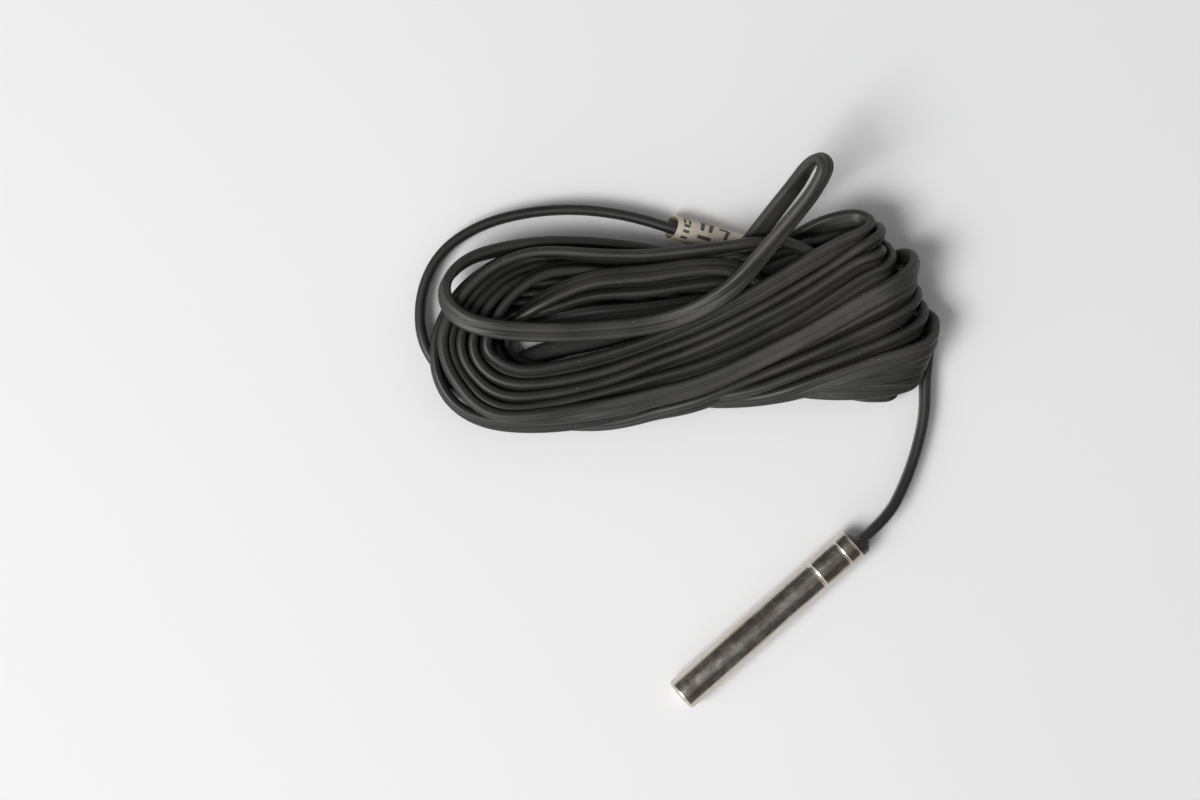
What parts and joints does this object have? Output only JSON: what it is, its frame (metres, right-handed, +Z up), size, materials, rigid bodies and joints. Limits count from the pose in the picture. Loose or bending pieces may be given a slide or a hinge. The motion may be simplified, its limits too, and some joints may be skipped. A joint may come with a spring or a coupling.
{
  "type": "cable temperature sensor probe",
  "caption": "Cable temperature sensor: a closed metal sleeve with a potted sensing element, a rubber rear seal and a flat two-core cord wound in a loose hank.",
  "frame": {"origin": "on the surface that the probe lies on, under the middle of the sleeve and its rear seal", "axes": "+X along the sleeve from its closed tip to its mouth, +Y towards the hank, +Z up"},
  "size_m": [0.0815, 0.0899, 0.0231],
  "materials": {
    "plated_sleeve": "nickel plate, semi-gloss, clouded and lightly scratched",
    "seal_rubber": "moulded, matt with a soft sheen",
    "cord_rubber": "extruded, matt, fine lengthwise ribs",
    "core_insulation": "extruded, matt",
    "thermal_compound": "white heat-conducting paste, set",
    "potting_resin": "cast resin",
    "chip_ceramic": "fired ceramic",
    "bond_glass": "glass glaze",
    "lead_wire": "drawn plated wire",
    "tinned_metal": "tin plate, satin",
    "amber_sleeving": "thin film tube",
    "copper_strand": "bare copper strands",
    "label_paper": "uncoated off-white paper with simple dark marks"
  },
  "bodies": {
    "root": {"sleeve": "plated_sleeve", "rear_seal": "seal_rubber", "thermal_compound": "thermal_compound", "potting_resin": "potting_resin", "element_chip": "chip_ceramic", "element_bond": "bond_glass", "element_lead_1": "lead_wire", "element_lead_2": "lead_wire", "splice_1": "tinned_metal", "splice_2": "tinned_metal", "insulating_sleeve_1": "amber_sleeving", "insulating_sleeve_2": "amber_sleeving", "conductor_1": "copper_strand", "conductor_2": "copper_strand", "cord_entry": "cord_rubber", "cord_lead": "cord_rubber", "cord_hank": "cord_rubber", "cord_arch": "cord_rubber", "cord_tail": "cord_rubber", "label": "label_paper", "end_core_1": "core_insulation", "end_core_2": "core_insulation", "end_ferrule_1": "tinned_metal", "end_ferrule_2": "tinned_metal"}
  },
  "joints": []
}
